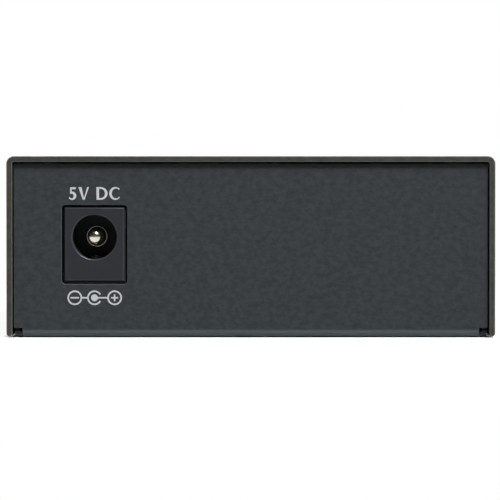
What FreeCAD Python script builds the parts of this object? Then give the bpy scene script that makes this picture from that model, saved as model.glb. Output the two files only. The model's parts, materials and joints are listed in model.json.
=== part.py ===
import FreeCAD, Part
import math
import os

# Stand-alone fibre media converter in a folded steel case.
#
# Millimetres, +Z up. The origin is at the middle of the underside. The optical
# and network sockets face -Y, and the power socket faces +Y.
#
# A tray folded from one sheet carries a board on four standoffs. An inverted-U
# cover slides over it and is held by a countersunk screw on each side.

V = FreeCAD.Vector
X = V(1, 0, 0)
Y = V(0, 1, 0)
Z = V(0, 0, 1)

# ---------------------------------------------------------------- dimensions

# Case
CASE_WIDTH = 70.0
CASE_HEIGHT = 26.0
CASE_LENGTH = 94.0
SHEET = 0.85
COVER_BEND = 0.25            # inside radius of the cover's two folds
COVER_EDGE = 0.3             # chamfer of the cover's lower edges
COVER_LIFT = 0.15            # cover's lower edges above the underside
TRAY_BEND = 0.25             # inside radius of the tray's folds
COVER_OVERHANG = 0.6         # cover past each panel
SIDE_CLEARANCE = 0.15        # tray to cover, each side
TOP_CLEARANCE = 0.25         # panel to cover, at the top
FLANGE_HEIGHT = 9.8
RELIEF_HEIGHT = 1.4          # corner notch in each panel's fold
RELIEF_WIDTH = 1.25
FLANGE_GAP = 0.35            # end of a side flange to the panel

# Cover screws, M3 countersunk: the head's cone runs through the cover into the tray
SCREW_RADIUS = 1.5
SCREW_HEAD_RADIUS = 2.65
SCREW_LENGTH = 4.4
SCREW_HEIGHT = 5.2           # axis above the underside
CONE_RADIUS = 2.75           # countersink at the cover's face
THREAD_BORE = 1.55
RECESS_WIDTH = 0.7
RECESS_SPAN = 3.0
RECESS_DEPTH = 0.9

# Vents in each cover side
VENT_COUNT = 7
VENT_PITCH = 4.0
VENT_WIDTH = 1.5
VENT_HEIGHT = 10.0
VENT_CENTRE_Z = 16.5

# Keyholes in the floor
KEYHOLE_SPACING = 50.0
KEYHOLE_HEAD = 3.75
KEYHOLE_SLOT = 1.75
KEYHOLE_THROW = 7.0

# Board
BOARD_SIDE_GAP = 3.15        # board's edge to a side flange
BOARD_END_GAP = 1.55         # board's end to a panel
BOARD_THICKNESS = 1.6
STANDOFF_HEIGHT = 5.48       # above the floor's upper face
STANDOFF_HEX = 2.5           # centre to flat
STANDOFF_SETBACK = 0.2       # clinched end above the underside
BOARD_HOLE = 1.65
BOARD_SCREW_HEAD = 2.75
BOARD_SCREW_HEAD_HEIGHT = 1.9
BOARD_SCREW_LENGTH = 5.0
BOARD_SCREW_INSET = 4.0
TAIL_LENGTH = 2.4            # solder tails below the board's upper face
TAIL_WIDTH = 0.5
TAIL_HOLE = 0.7
PANEL_GAP = 0.15             # connector bodies to their panel cut-outs
FIT = 0.05                   # between moulded pieces that slide together

# Power socket
JACK_INSET = 12.6            # axis from the side of the case
JACK_WIDTH = 8.9
JACK_HEIGHT = 10.87
JACK_DEPTH = 14.2
JACK_RECESS = 0.1            # face behind the panel's face
JACK_EDGE = 0.3
JACK_FRONT_DEPTH = 3.4       # square front block
JACK_BORE = 3.15
JACK_BORE_HEIGHT = 6.45      # bore axis above the board
JACK_BORE_DEPTH = 9.6
JACK_RIM = 0.15
JACK_BARREL = 4.45
JACK_PIN = 1.0
JACK_PIN_RECESS = 0.9
JACK_PIN_TIP = 0.4           # chamfer
JACK_TENON = 1.2             # square end of the pin that is riveted through the moulding
JACK_BOSS = 1.5              # moulded boss round the foot of the pin
JACK_BOSS_HEIGHT = 1.2
JACK_OPENING_CORNER = 0.5
JACK_OPENING_WIDTH = 9.36
JACK_OPENING_BELOW = 0.25
JACK_OPENING_ABOVE = 0.2
JACK_LEAF = 0.3
JACK_LEAF_WIDTH = 2.2
JACK_LEAF_SLACK = 0.3        # leaf's channel wider than the leaf
JACK_BLADE = 2.4             # width of a solder blade
JACK_BLADE_SETBACK = 8.1     # side blades behind the face

# Network socket
RJ45_X = 19.8
RJ45_WIDTH = 16.1
RJ45_HEIGHT = 13.4
RJ45_DEPTH = 21.3
RJ45_SHIELD = 0.25
RJ45_PROUD = 0.4             # face past the panel's face
RJ45_MOUTH_WIDTH = 11.9
RJ45_MOUTH_HEIGHT = 6.9
RJ45_MOUTH_BELOW = 3.8       # mouth's lower edge above the board
RJ45_MOUTH_DEPTH = 13.5
RJ45_KEY_WIDTH = 6.3
RJ45_KEY_HEIGHT = 1.55
RJ45_TAB_WIDTH = 3.3
RJ45_TAB_HEIGHT = 0.9
RJ45_CONTACTS = 8
RJ45_CONTACT_PITCH = 1.016
RJ45_WIRE_WIDTH = 0.46
RJ45_WIRE = 0.3
RJ45_WIRE_SLACK = 0.2        # guide slot wider than its wire
RJ45_WIRE_NOSE = 1.2         # front of the guides behind the face
RJ45_WIRE_REACH = 8.0        # sprung length inside the cavity
RJ45_WIRE_DROP = 4.3         # wire's free end below the cavity's roof
RJ45_GUIDE_DEPTH = 1.0       # guide slots below the cavity's roof
RJ45_CARRIER_DEPTH = 6.6
RJ45_ROW = 3.2               # rear row of tails from the back
RJ45_ROW_PITCH = 2.54
RJ45_TAB_LENGTH = 2.4        # shield's board tabs
RJ45_TAB_SETBACK = 8.95      # tabs behind the face

# Optical transceiver, duplex SC
SC_X = -17.0
SC_WIDTH = 25.4
SC_HEIGHT = 10.9
SC_DEPTH = 39.0
SC_PROUD = 0.5
SC_PITCH = 12.7
SC_PORT_HEIGHT = 4.9         # port axis above the board
SC_MOUTH_WIDTH = 9.1
SC_MOUTH_HEIGHT = 7.5
SC_MOUTH_DEPTH = 12.5
SC_KEY_WIDTH = 2.2
SC_KEY_HEIGHT = 1.2
SC_RECEPTACLE = 17.0         # depth of the solid receptacle block
SC_WALL = 1.0
SC_FLOOR = 1.2               # moulded floor of the hood
SC_INSERT_PLATE = 1.4
SC_HOLDER_LENGTH = 7.4       # sleeve holder in front of the insert's plate
SC_HOLDER_OUTER = 2.25
SC_SLEEVE_OUTER = 1.6
SC_SLEEVE_INNER = 1.25
SC_SLEEVE_SLIT = 0.4
SC_SLEEVE_RECESS = 0.3       # sleeve behind the holder's front
SC_HOOK_WIDTH = 0.8
SC_HOOK_HEIGHT = 2.6
SC_HOOK_LENGTH = 6.2
SC_HOOK_BARB = 0.55
SC_HOOK_BARB_RUN = 1.0
SC_HOOK_BARB_BACK = 0.4
SC_HOOK_OFFSET = 3.3
CAN_RADIUS = 2.8
CAN_LENGTH = 5.0
CAN_LEAD = 0.45
CAN_LEAD_PITCH = 1.27
CAN_LEAD_LENGTH = 3.2
TRANSCEIVER_BOARD_THICKNESS = 1.0
TRANSCEIVER_BOARD_GAP = 1.0  # board to the receptacle block
TRANSCEIVER_PINS = 9
TRANSCEIVER_PIN_INSET = 3.0  # pins to the hood's rear wall

# Configuration switches and indicators
DIP_X = 3.0
DIP_WAYS = 4
DIP_PITCH = 2.54
DIP_WIDTH = 11.7
DIP_HEIGHT = 6.6
DIP_DEPTH = 9.0
DIP_SETBACK = 0.2            # body behind the panel's inner face
DIP_SLOT_WIDTH = 1.4
DIP_SLOT_DEPTH = 3.0
DIP_SLOT_BELOW = 1.8         # slot's lower end above the board
DIP_TRAVEL = 1.6
DIP_KNOB_WIDTH = 1.2
DIP_KNOB_HEIGHT = 1.4
DIP_KNOB_PROUD = 0.3         # knob past the panel's face
DIP_KNOB_GROOVE = 0.35
DIP_KNOB_GROOVE_DEPTH = 0.25
DIP_CLEARANCE = 0.05
DIP_WINDOW_WIDTH = 10.6
DIP_WINDOW_MARGIN = 0.4
DIP_FIRST_ROW = 2.2          # front tails behind the body's face
DIP_ROW_PITCH = 5.08

LIGHT_COLUMNS = 3
LIGHT_PITCH = 4.0
LIGHT_ROW = 10.3             # lower row's axis above the board
LIGHT_ROW_PITCH = 3.4
LIGHT_LEG = 12.6             # first legs' axis behind the panel's face
LIGHT_LEG_PITCH = 4.4
LIGHT_WIDTH = 2.0
LIGHT_PROUD = 0.3
LIGHT_WEB = 1.2
LIGHT_WEB_SETBACK = 4.0      # upright web in front of the first legs
LIGHT_FOOT_HEIGHT = 4.0      # flat web above the board
LED_LENGTH = 1.6
LED_WIDTH = 0.9
LED_HEIGHT = 0.7
LED_GAP = 0.3

# Parts on the board. Their places along Y are shares of the bay from the transceiver to the board's end.
LEAD = 0.2
LEAD_WIDTH = 0.45
LEAD_PITCH = 1.27
LEAD_REACH = 1.0
PACKAGE_STAND = 0.1
CONVERTER_X = -3.0
CONVERTER_SHARE = 0.23
CONVERTER_SIZE = 9.0
CONVERTER_HEIGHT = 0.9
MEMORY_X = -18.0
MEMORY_SHARE = 0.46
MEMORY_WIDTH = 3.9
MEMORY_LENGTH = 4.9
MEMORY_HEIGHT = 1.5
CRYSTAL_WIDTH = 3.2
CRYSTAL_LENGTH = 5.0
CRYSTAL_HEIGHT = 0.8
CRYSTAL_LID = 0.4
CRYSTAL_RIM = 0.3
INDUCTOR_X = 0.5
INDUCTOR_SHARE = 0.56
INDUCTOR_SIZE = 6.0
INDUCTOR_HEIGHT = 2.8
INDUCTOR_CORNER = 1.0
REGULATOR_X = -6.0
REGULATOR_SHARE = 0.79
REGULATOR_WIDTH = 3.5
REGULATOR_LENGTH = 6.5
REGULATOR_HEIGHT = 1.6
REGULATOR_PITCH = 2.3
REGULATOR_LEAD_WIDTH = 0.7
REGULATOR_FIN_WIDTH = 3.0
REGULATOR_FIN_REACH = 1.65
REGULATOR_FIN = 0.8
CAPACITOR_X = 8.0
CAPACITOR_SHARE = 0.74
CAPACITOR_RADIUS = 3.15
CAPACITOR_HEIGHT = 5.6
TRANSFORMER_WIDTH = 7.1
TRANSFORMER_LENGTH = 12.7
TRANSFORMER_HEIGHT = 5.6
TRANSFORMER_GAP = 7.65       # behind the network socket
TRANSFORMER_SHIFT = 2.0      # towards the middle from the socket's axis
BYPASS_LENGTH = 2.0
BYPASS_WIDTH = 1.25
BYPASS_HEIGHT = 0.9
BYPASS_GAP = 3.5             # from the converter's edge to a bypass capacitor
BYPASS_PITCH = 5.0
RESISTOR_LENGTH = 1.6
RESISTOR_WIDTH = 0.8
RESISTOR_HEIGHT = 0.5
RESISTOR_PITCH = 2.5
BEAD_LENGTH = 3.2
BEAD_WIDTH = 1.6
BEAD_HEIGHT = 1.1
BEAD_PITCH = 3.0
BEAD_GAP = 11.0              # first bead behind the power socket

# ------------------------------------------------------------ derived places

def spread(centre, pitch, count):
    """Evenly spaced places about a centre."""
    return [centre + (i - (count - 1) / 2) * pitch for i in range(count)]


FLOOR = SHEET
REAR = CASE_LENGTH / 2 - COVER_OVERHANG
FRONT = -REAR
TRAY_SIDE = CASE_WIDTH / 2 - SHEET - SIDE_CLEARANCE
PANEL_TOP = CASE_HEIGHT - SHEET - TOP_CLEARANCE
FLANGE_END = REAR - TRAY_BEND - SHEET
BOARD_WIDTH = 2 * (TRAY_SIDE - SHEET - BOARD_SIDE_GAP)
BOARD_LENGTH = 2 * (REAR - SHEET - BOARD_END_GAP)
BOARD_UNDER = FLOOR + STANDOFF_HEIGHT
BOARD_TOP = BOARD_UNDER + BOARD_THICKNESS
TAIL_END = BOARD_TOP - TAIL_LENGTH

JACK_X = CASE_WIDTH / 2 - JACK_INSET
JACK_FACE = REAR - JACK_RECESS
JACK_BACK = JACK_FACE - JACK_DEPTH
JACK_AXIS_Z = BOARD_TOP + JACK_BORE_HEIGHT
JACK_BORE_END = JACK_FACE - JACK_BORE_DEPTH

RJ45_FACE = FRONT - RJ45_PROUD
RJ45_BACK = RJ45_FACE + RJ45_DEPTH
RJ45_TOP = BOARD_TOP + RJ45_HEIGHT
RJ45_MOUTH_Z = BOARD_TOP + RJ45_MOUTH_BELOW
RJ45_CEILING = RJ45_MOUTH_Z + RJ45_MOUTH_HEIGHT
RJ45_ROWS = (RJ45_BACK - RJ45_ROW, RJ45_BACK - RJ45_ROW - RJ45_ROW_PITCH)
RJ45_TAB_Y = RJ45_FACE + RJ45_TAB_SETBACK
RJ45_CONTACT_X = spread(RJ45_X, RJ45_CONTACT_PITCH, RJ45_CONTACTS)

SC_FACE = FRONT - SC_PROUD
SC_BACK = SC_FACE + SC_DEPTH
SC_AXIS_Z = BOARD_TOP + SC_PORT_HEIGHT
SC_AXES = spread(SC_X, SC_PITCH, 2)
SC_INSERT_Y = SC_FACE + SC_MOUTH_DEPTH
SC_TOP = BOARD_TOP + SC_HEIGHT
SC_BLOCK_END = SC_FACE + SC_RECEPTACLE
HOOD_END = SC_BACK - SC_WALL
TRANSCEIVER_BOARD_TOP = SC_AXIS_Z - CAN_LEAD / 2
TRANSCEIVER_BOARD_UNDER = TRANSCEIVER_BOARD_TOP - TRANSCEIVER_BOARD_THICKNESS
TRANSCEIVER_PIN_PITCH = SC_WIDTH / (TRANSCEIVER_PINS + 1)
TRANSCEIVER_PIN_Y = HOOD_END - TRANSCEIVER_PIN_INSET
TRANSCEIVER_PIN_X = spread(SC_X, TRANSCEIVER_PIN_PITCH, TRANSCEIVER_PINS)

DIP_FACE = FRONT + SHEET + DIP_SETBACK
DIP_ROWS = (DIP_FACE + DIP_FIRST_ROW, DIP_FACE + DIP_FIRST_ROW + DIP_ROW_PITCH)
DIP_AXES = spread(DIP_X, DIP_PITCH, DIP_WAYS)
DIP_SLOT_Z = BOARD_TOP + DIP_SLOT_BELOW
DIP_SLOT_HEIGHT = DIP_KNOB_HEIGHT + DIP_TRAVEL + 2 * DIP_CLEARANCE

LIGHT_AXES = spread(DIP_X, LIGHT_PITCH, LIGHT_COLUMNS)
LIGHT_ROWS = (BOARD_TOP + LIGHT_ROW, BOARD_TOP + LIGHT_ROW + LIGHT_ROW_PITCH)
LIGHT_LEGS = (FRONT + LIGHT_LEG, FRONT + LIGHT_LEG + LIGHT_LEG_PITCH)

# The board is screwed to two standoffs on a diagonal and rests on the other two.
BOARD_SCREWS = (
    (BOARD_WIDTH / 2 - BOARD_SCREW_INSET, RJ45_BACK + BOARD_SCREW_INSET),
    (-BOARD_WIDTH / 2 + BOARD_SCREW_INSET, BOARD_LENGTH / 2 - BOARD_SCREW_INSET),
)
BOARD_RESTS = (
    (-BOARD_WIDTH / 2 + BOARD_SCREW_INSET, SC_BACK + BOARD_SCREW_INSET),
    (BOARD_WIDTH / 2 - BOARD_SCREW_INSET, JACK_BACK - BOARD_SCREW_INSET),
)


# ------------------------------------------------------------------- helpers

def block(x, y, z):
    """Box between the (low, high) pairs of each axis."""
    return Part.makeBox(x[1] - x[0], y[1] - y[0], z[1] - z[0], V(x[0], y[0], z[0]))


def span(centre, width):
    """(low, high) pair of a width about a centre."""
    return (centre - width / 2, centre + width / 2)


def rod(radius, start, length, axis=Z):
    """Round bar from a point along an axis."""
    return Part.makeCylinder(radius, length, start, axis)


def merge(shapes):
    """One solid from pieces that touch or overlap, without seams between flush faces."""
    whole = shapes[0]
    if len(shapes) > 1:
        whole = whole.fuse(list(shapes[1:]))
    return whole.removeSplitter()


def outline(points, radii):
    """Closed wire through the points, with each corner rounded to its own radius."""
    count = len(points)
    corners = []
    for i, corner in enumerate(points):
        back = (points[i - 1] - corner).normalize()
        ahead = (points[(i + 1) % count] - corner).normalize()
        half = back.getAngle(ahead) / 2
        if radii[i] == 0:
            corners.append((corner, None, corner))
            continue
        run = radii[i] / math.tan(half)
        middle = (back + ahead).normalize() * (radii[i] / math.sin(half) - radii[i])
        corners.append((corner + back * run, corner + middle, corner + ahead * run))
    edges = []
    for i, (start, middle, end) in enumerate(corners):
        if middle is not None:
            edges.append(Part.Arc(start, middle, end).toShape())
        following = corners[(i + 1) % count][0]
        if end.distanceToPoint(following) > 1e-6:
            edges.append(Part.LineSegment(end, following).toShape())
    return Part.Wire(Part.__sortEdges__(edges))


def prism(points, sweep, radii=None):
    """Solid of an outline swept along a vector."""
    wire = outline(points, radii or [0] * len(points))
    return Part.Face(wire).extrude(sweep)


def strip(path, thickness, bend, normal, width):
    """Sheet or wire bent in one plane: its middle line, its inside bend radius, and the
    direction and length of its width. The width is centred on the path."""
    ahead = [(b - a).normalize() for a, b in zip(path, path[1:])]
    side = [normal.cross(d) for d in ahead]
    left, right, left_radii, right_radii = [], [], [], []
    for i, point in enumerate(path):
        before = side[max(i - 1, 0)]
        after = side[min(i, len(side) - 1)]
        mitre = (before + after) * (thickness / 2 / (1 + before.dot(after)))
        turn = 0 if i in (0, len(path) - 1) else before.cross(after).dot(normal)
        left.append(point + mitre)
        right.append(point - mitre)
        inner, outer = (bend, bend + thickness) if bend and turn else (0, 0)
        left_radii.append(inner if turn > 0 else outer)
        right_radii.append(outer if turn > 0 else inner)
    points = [p - normal * (width / 2) for p in left + right[::-1]]
    return prism(points, normal * width, left_radii + right_radii[::-1])


def turned(profile, origin, axis):
    """Solid of revolution: (distance along the axis, radius) points about an axis."""
    across = Z if abs(axis.dot(Z)) < 0.5 else X
    points = [origin + axis * a + across * r for a, r in profile]
    face = Part.Face(Part.makePolygon(points + points[:1]))
    return face.revolve(origin, axis, 360)


def tail(x, y, top=BOARD_TOP, width=TAIL_WIDTH):
    """Square solder tail through the board."""
    return block(span(x, width), span(y, width), (TAIL_END, top))


# ---------------------------------------------------------------- case parts

def screw_sites():
    """Cover screw axes: a point on the cover's face and the direction inwards."""
    return [(V(side * CASE_WIDTH / 2, 0, SCREW_HEIGHT), V(-side, 0, 0)) for side in (-1, 1)]


def countersink(point, inwards):
    """Cutter for a right-angled cone that narrows to the thread's bore."""
    depth = CONE_RADIUS - THREAD_BORE
    return turned([(0, 0), (0, CONE_RADIUS), (depth, THREAD_BORE), (depth + SCREW_LENGTH, THREAD_BORE),
                   (depth + SCREW_LENGTH, 0)], point, inwards)


def top_cover():
    """Inverted-U sheet with two folds, side vents and a countersink in each side."""
    middle = CASE_WIDTH / 2 - SHEET / 2
    top = CASE_HEIGHT - SHEET / 2
    path = [V(-middle, 0, COVER_LIFT), V(-middle, 0, top), V(middle, 0, top), V(middle, 0, COVER_LIFT)]
    cover = strip(path, SHEET, COVER_BEND, Y, CASE_LENGTH)
    lower = [edge for edge in cover.Edges
             if edge.BoundBox.ZMax < CASE_HEIGHT / 2 and edge.Length > CASE_WIDTH]
    cover = cover.makeChamfer(COVER_EDGE, lower)
    cutters = [countersink(*site) for site in screw_sites()]
    for y in spread(0, VENT_PITCH, VENT_COUNT):
        cutters.append(block(span(0, CASE_WIDTH + 2), span(y, VENT_WIDTH),
                             span(VENT_CENTRE_Z, VENT_HEIGHT)))
    return cover.cut(cutters)


def panel_cutters():
    """Cut-outs for the sockets, the switches and the lights."""
    through = (FRONT - 1, FRONT + SHEET + 1)
    cutters = [
        block(span(SC_X, SC_WIDTH + 2 * PANEL_GAP), through,
              (BOARD_TOP - PANEL_GAP, BOARD_TOP + SC_HEIGHT + PANEL_GAP)),
        block(span(RJ45_X, RJ45_WIDTH + 2 * PANEL_GAP), through,
              (BOARD_TOP - PANEL_GAP, BOARD_TOP + RJ45_HEIGHT + PANEL_GAP)),
        block(span(DIP_X, DIP_WINDOW_WIDTH), through,
              (DIP_SLOT_Z - DIP_WINDOW_MARGIN, DIP_SLOT_Z + DIP_SLOT_HEIGHT + DIP_WINDOW_MARGIN)),
    ]
    for x in LIGHT_AXES:
        for row in LIGHT_ROWS:
            cutters.append(block(span(x, LIGHT_WIDTH + PANEL_GAP), through,
                                 span(row, LIGHT_WIDTH + PANEL_GAP)))
    low = BOARD_TOP - JACK_OPENING_BELOW
    high = BOARD_TOP + JACK_HEIGHT + JACK_OPENING_ABOVE
    left, right = span(JACK_X, JACK_OPENING_WIDTH)
    y = REAR - SHEET - 1
    corners = [V(left, y, low), V(right, y, low), V(right, y, high), V(left, y, high)]
    cutters.append(prism(corners, Y * (SHEET + 2), [JACK_OPENING_CORNER] * 4))
    return cutters


def keyhole(y):
    """Wall-mounting keyhole through the floor: a round head and a slot towards +Y."""
    head = rod(KEYHOLE_HEAD, V(0, y, -1), FLOOR + 2)
    end = y + KEYHOLE_THROW - KEYHOLE_SLOT
    slot = block(span(0, 2 * KEYHOLE_SLOT), (y, end), (-1, FLOOR + 1))
    return merge([head, slot, rod(KEYHOLE_SLOT, V(0, end, -1), FLOOR + 2)])


def hexagon(x, y, z, flat):
    """Corners of a hexagon from the distance of its flats."""
    reach = flat / math.cos(math.pi / 6)
    turns = [i * math.pi / 3 for i in range(6)]
    return [V(x + reach * math.cos(turn), y + reach * math.sin(turn), z) for turn in turns]


def base_tray():
    """Floor, two panels and two side flanges folded from one sheet."""
    middle = REAR - SHEET / 2
    under = SHEET / 2
    panels = strip([V(0, -middle, PANEL_TOP), V(0, -middle, under), V(0, middle, under),
                    V(0, middle, PANEL_TOP)], SHEET, TRAY_BEND, X, 2 * TRAY_SIDE)
    edge = TRAY_SIDE - RELIEF_WIDTH
    reliefs = [block(x, (-CASE_LENGTH, CASE_LENGTH), (-1, RELIEF_HEIGHT))
               for x in ((-TRAY_SIDE - 1, -edge), (edge, TRAY_SIDE + 1))]
    middle = TRAY_SIDE - SHEET / 2
    flanges = strip([V(-middle, 0, FLANGE_HEIGHT), V(-middle, 0, under), V(middle, 0, under),
                     V(middle, 0, FLANGE_HEIGHT)], SHEET, TRAY_BEND, Y, 2 * FLANGE_END)
    ends = [block((-CASE_WIDTH, CASE_WIDTH), y, (FLOOR + TRAY_BEND, CASE_HEIGHT))
            for y in ((FLANGE_END - FLANGE_GAP, REAR), (FRONT, -FLANGE_END + FLANGE_GAP))]
    tray = merge([panels.cut(reliefs), flanges.cut(ends)])
    cutters = panel_cutters() + [keyhole(-KEYHOLE_SPACING / 2), keyhole(KEYHOLE_SPACING / 2)]
    for x, y in BOARD_SCREWS + BOARD_RESTS:
        cutters.append(prism(hexagon(x, y, -1, STANDOFF_HEX), Z * (FLOOR + 2)))
    cutters += [countersink(*site) for site in screw_sites()]
    return tray.cut(cutters)


def cross_recess(point):
    """Cutter for the cross-shaped driver recess of a cover screw."""
    arms = [block(span(point.x, 2 * RECESS_DEPTH), span(point.y, dy), span(point.z, dz))
            for dy, dz in ((RECESS_SPAN, RECESS_WIDTH), (RECESS_WIDTH, RECESS_SPAN))]
    return merge(arms)


def cover_screws():
    """Two countersunk screws, flush with the cover's sides."""
    screws = []
    for point, inwards in screw_sites():
        taper = SCREW_HEAD_RADIUS - SCREW_RADIUS
        start = CONE_RADIUS - SCREW_HEAD_RADIUS
        screw = turned([(start, 0), (start, SCREW_HEAD_RADIUS), (start + taper, SCREW_RADIUS),
                        (SCREW_LENGTH, SCREW_RADIUS), (SCREW_LENGTH, 0)], point, inwards)
        screws.append(screw.cut(cross_recess(point)))
    return Part.makeCompound(screws)


def board_standoffs():
    """Four hexagonal standoffs clinched in the floor, two of them tapped for the board's screws."""
    bores = [rod(THREAD_BORE, V(x, y, FLOOR), STANDOFF_HEIGHT + 1) for x, y in BOARD_SCREWS]
    pillars = [prism(hexagon(x, y, STANDOFF_SETBACK, STANDOFF_HEX), Z * (BOARD_UNDER - STANDOFF_SETBACK))
               for x, y in BOARD_SCREWS + BOARD_RESTS]
    return Part.makeCompound([pillar.cut(bores) for pillar in pillars])


def board_screws():
    """Two cheese-head screws that hold the board on its tapped standoffs."""
    screws = []
    for x, y in BOARD_SCREWS:
        head = rod(BOARD_SCREW_HEAD, V(x, y, BOARD_TOP), BOARD_SCREW_HEAD_HEIGHT)
        shank = rod(SCREW_RADIUS, V(x, y, BOARD_TOP - BOARD_SCREW_LENGTH), BOARD_SCREW_LENGTH)
        screws.append(merge([head, shank]))
    return Part.makeCompound(screws)


# -------------------------------------------------------------- power socket

def jack_tails():
    """(x, y, width along X, width along Y) of the jack's three solder blades."""
    back = JACK_BACK + JACK_LEAF / 2
    middle = JACK_FACE - JACK_BLADE_SETBACK
    return {
        "pin": (JACK_X, back, JACK_BLADE, JACK_LEAF),
        "sleeve": (JACK_X, middle, JACK_BLADE, JACK_LEAF),
        "switch": (JACK_X + JACK_WIDTH / 2 - JACK_LEAF / 2, middle, JACK_LEAF, JACK_BLADE),
    }


def jack_blade(name, top):
    """Flat solder blade of a jack contact, through the board."""
    x, y, dx, dy = jack_tails()[name]
    return block(span(x, dx), span(y, dy), (TAIL_END, top))


def dc_jack_housing():
    """Square front block, a barrel behind it on a foot, and a bore with a boss at its end."""
    left, right = span(JACK_X, JACK_WIDTH)
    top = BOARD_TOP + JACK_HEIGHT
    front = block((left, right), (JACK_FACE - JACK_FRONT_DEPTH, JACK_FACE), (BOARD_TOP, top))
    rim = [edge for edge in front.Edges
           if all(abs(vertex.Y - JACK_FACE) < 1e-6 for vertex in edge.Vertexes)]
    front = front.makeChamfer(JACK_EDGE, rim)
    back = JACK_BACK + JACK_LEAF
    depth = JACK_FACE - JACK_FRONT_DEPTH - back
    foot = block((left + JACK_LEAF, right - JACK_LEAF), (back, back + depth), (BOARD_TOP, JACK_AXIS_Z))
    barrel = rod(JACK_BARREL - JACK_LEAF, V(JACK_X, back, JACK_AXIS_Z), depth, Y)
    body = merge([front, foot, barrel])
    bore = turned([(0, 0), (0, JACK_BORE + JACK_RIM), (JACK_RIM, JACK_BORE), (JACK_BORE_DEPTH, JACK_BORE),
                   (JACK_BORE_DEPTH, 0)], V(JACK_X, JACK_FACE, JACK_AXIS_Z), -Y)
    boss = rod(JACK_BOSS, V(JACK_X, JACK_BORE_END, JACK_AXIS_Z), JACK_BOSS_HEIGHT, Y)
    hole = JACK_TENON + 2 * FIT
    passage = block(span(JACK_X, hole), (JACK_BACK, JACK_FACE), span(JACK_AXIS_Z, hole))
    x, y, dx, dy = jack_tails()["sleeve"]
    width = JACK_LEAF_WIDTH + JACK_LEAF_SLACK
    channel = block(span(x, width), (y - JACK_LEAF, JACK_FACE - JACK_FRONT_DEPTH / 2),
                    (BOARD_TOP + JACK_LEAF, JACK_AXIS_Z - JACK_BORE / 2))
    slot = block(span(x, width), span(y, dy + JACK_LEAF_SLACK), (BOARD_TOP - 1, JACK_AXIS_Z - JACK_BORE))
    return merge([body.cut([bore, channel, slot]), boss]).cut(passage)


def dc_jack_pin():
    """Round centre pin with a chamfered tip, seated on the boss by its shoulder.

    Its square tenon goes through the moulding and is riveted to the blade at the back.
    """
    length = JACK_BORE_DEPTH - JACK_PIN_RECESS
    origin = V(JACK_X, JACK_BORE_END, JACK_AXIS_Z)
    pin = turned([(JACK_BOSS_HEIGHT, 0), (JACK_BOSS_HEIGHT, JACK_PIN), (length - JACK_PIN_TIP, JACK_PIN),
                  (length, JACK_PIN - JACK_PIN_TIP), (length, 0)], origin, Y)
    tenon = block(span(JACK_X, JACK_TENON), (JACK_BACK, JACK_BORE_END + JACK_BOSS_HEIGHT),
                  span(JACK_AXIS_Z, JACK_TENON))
    x, y, dx, dy = jack_tails()["pin"]
    plate = block(span(x, dx), span(y, dy), (BOARD_TOP, JACK_AXIS_Z + JACK_BOSS))
    return merge([pin, tenon, plate, jack_blade("pin", BOARD_TOP)])


def dc_jack_sleeve_spring():
    """Leaf that presses up on the plug's sleeve, with its blade through the board."""
    x, y, dx, dy = jack_tails()["sleeve"]
    low = BOARD_TOP + JACK_LEAF * 2
    end = JACK_FACE - JACK_FRONT_DEPTH / 2 - JACK_LEAF
    crest = JACK_AXIS_Z - JACK_BORE + JACK_LEAF
    path = [V(x, y, TAIL_END), V(x, y, low), V(x, y + (end - y) * 0.6, crest), V(x, end, low + JACK_LEAF)]
    return strip(path, JACK_LEAF, 0, X, JACK_LEAF_WIDTH)


def dc_jack_switch_contact():
    """Fixed contact on the barrel's side, with its blade through the board."""
    x, y, dx, dy = jack_tails()["switch"]
    return block(span(x, dx), span(y, dy), (TAIL_END, JACK_AXIS_Z))


# ------------------------------------------------------------ network socket

RJ45_SIDES = span(RJ45_X, RJ45_WIDTH)
RJ45_INSIDE = span(RJ45_X, RJ45_WIDTH - 2 * (RJ45_SHIELD + FIT))
RJ45_CARRIER_FRONT = RJ45_BACK - RJ45_SHIELD - RJ45_CARRIER_DEPTH


def rj45_mouth(depth, grow=0):
    """Plug cavity with the two steps of its latch slot, from the face inwards."""
    y = (RJ45_FACE - 1, RJ45_FACE + depth)
    low = RJ45_MOUTH_Z
    key = low - RJ45_KEY_HEIGHT
    return merge([
        block(span(RJ45_X, RJ45_MOUTH_WIDTH + 2 * grow), y, (low - grow, RJ45_CEILING + grow)),
        block(span(RJ45_X, RJ45_KEY_WIDTH + 2 * grow), y, (key - grow, low)),
        block(span(RJ45_X, RJ45_TAB_WIDTH + 2 * grow), y, (key - RJ45_TAB_HEIGHT - grow, key)),
    ])


def rj45_shield():
    """Folded tinned can, open below, with the mouth's outline in its face and two board tabs."""
    whole = block(RJ45_SIDES, (RJ45_FACE, RJ45_BACK), (BOARD_TOP, RJ45_TOP))
    inner = block((RJ45_SIDES[0] + RJ45_SHIELD, RJ45_SIDES[1] - RJ45_SHIELD),
                  (RJ45_FACE + RJ45_SHIELD, RJ45_BACK - RJ45_SHIELD), (BOARD_TOP - 1, RJ45_TOP - RJ45_SHIELD))
    tabs = [block(x, span(RJ45_TAB_Y, RJ45_TAB_LENGTH), (TAIL_END, BOARD_TOP)) for x in
            ((RJ45_SIDES[0], RJ45_SIDES[0] + RJ45_SHIELD), (RJ45_SIDES[1] - RJ45_SHIELD, RJ45_SIDES[1]))]
    return merge([whole.cut([inner, rj45_mouth(1, RJ45_SHIELD)])] + tabs)


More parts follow.
